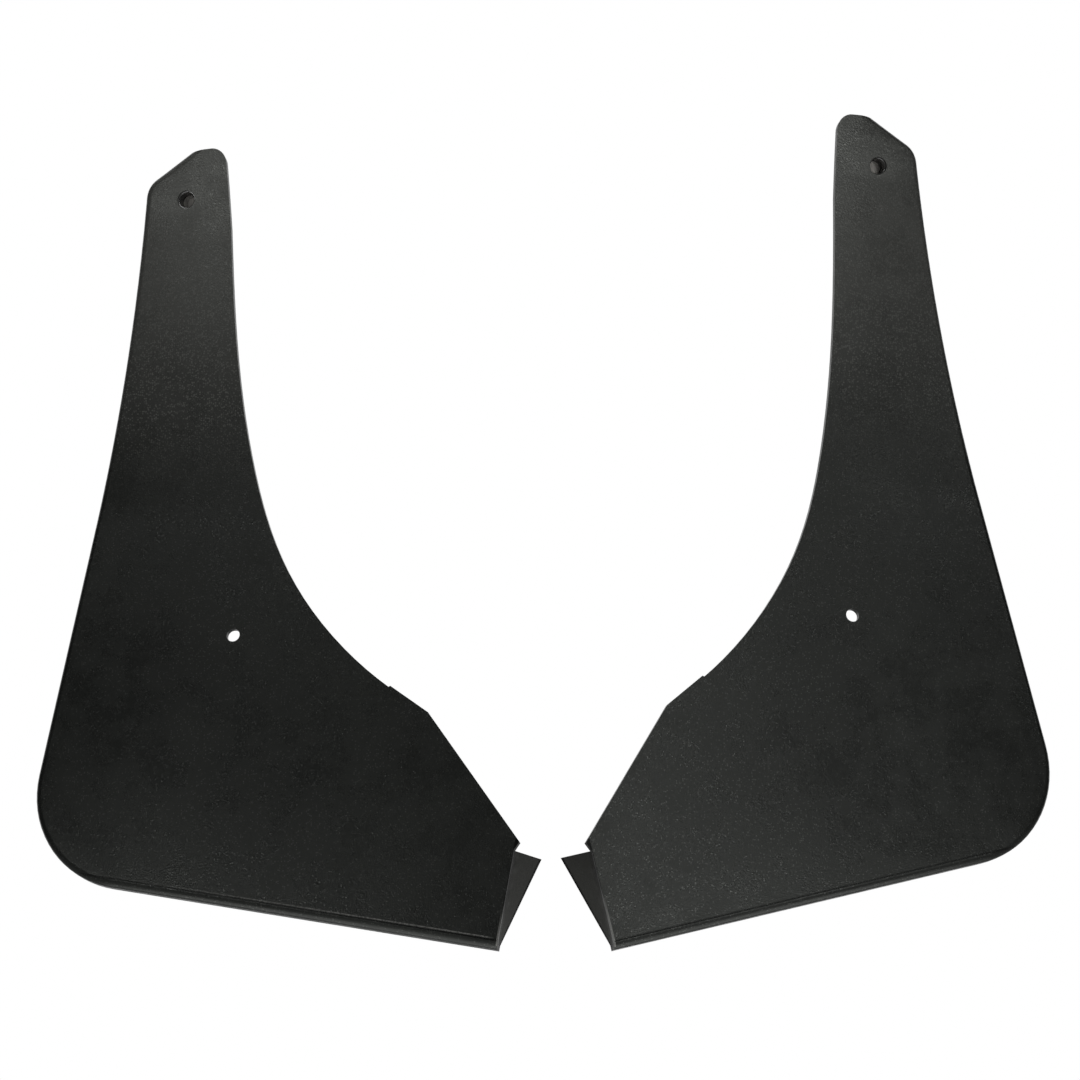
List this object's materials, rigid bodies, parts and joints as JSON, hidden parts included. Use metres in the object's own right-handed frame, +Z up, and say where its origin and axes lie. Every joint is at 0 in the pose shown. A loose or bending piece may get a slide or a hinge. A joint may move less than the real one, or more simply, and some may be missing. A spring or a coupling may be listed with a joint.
{
  "type": "mud flap",
  "caption": "Matching left and right moulded vehicle mud flaps with a curved upper strip, return lip, flared inner wing and ferruled upper fixing hole.",
  "frame": {"origin": "centre of the bounding box of the pair", "axes": "+Z up along the guards' flat panels, +X from the left guard to the right guard, -Y the way the front faces look"},
  "size_m": [0.5276, 0.0924, 0.4528],
  "materials": {
    "flap_plastic": "fine pebble grain, semi-matt black",
    "ferrule": "smooth glossy black"
  },
  "bodies": {
    "root": {"left_flap": "flap_plastic", "right_flap": "flap_plastic", "left_ferrule": "ferrule", "right_ferrule": "ferrule"}
  },
  "joints": []
}
